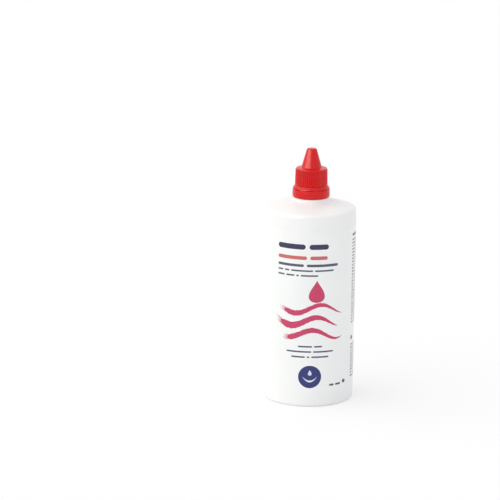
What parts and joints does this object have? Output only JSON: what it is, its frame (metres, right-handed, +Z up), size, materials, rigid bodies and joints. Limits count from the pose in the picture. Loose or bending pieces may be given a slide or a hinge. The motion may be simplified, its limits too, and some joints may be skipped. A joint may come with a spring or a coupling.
{
  "type": "contact lens solution bottle",
  "caption": "Round white squeeze bottle of lens solution with a pressed-in dropper plug and a red pointed screw cap over a tamper band.",
  "frame": {"origin": "centre of the ring that the bottle stands on", "axes": "+Z up along the bottle's axis, label front towards -Y, +X to the right of the label"},
  "size_m": [0.0628, 0.0627, 0.1755],
  "materials": {
    "bottle_plastic": "opaque white blow-moulded polyethylene, satin",
    "solution": "clear watery liquid",
    "plug_plastic": "milky translucent soft polyethylene",
    "cap_plastic": "red moulded polypropylene, semi-gloss",
    "label_film": "white printed film, satin"
  },
  "bodies": {
    "bottle": {"bottle": "bottle_plastic", "lens_solution": "solution", "nozzle_plug": "plug_plastic", "wrap_label": "label_film"},
    "band": {"tamper_band": "cap_plastic", "tamper_bridges": "cap_plastic"},
    "cap": {"screw_cap": "cap_plastic"}
  },
  "joints": [
    {"name": "cap_turn", "type": "hinge", "parent": "bottle", "child": "band", "pos_m": [0, 0, 0.1543], "axis": [0, 0, 1], "range_deg": [0, 720]},
    {"name": "cap_rise", "type": "slide", "parent": "band", "child": "cap", "axis": [0, 0, 1], "range_m": [0, 0.00635]}
  ],
  "couplings": [
    {"joint": "cap_rise", "follows": "cap_turn", "m_per_rad": 0.00050532}
  ]
}
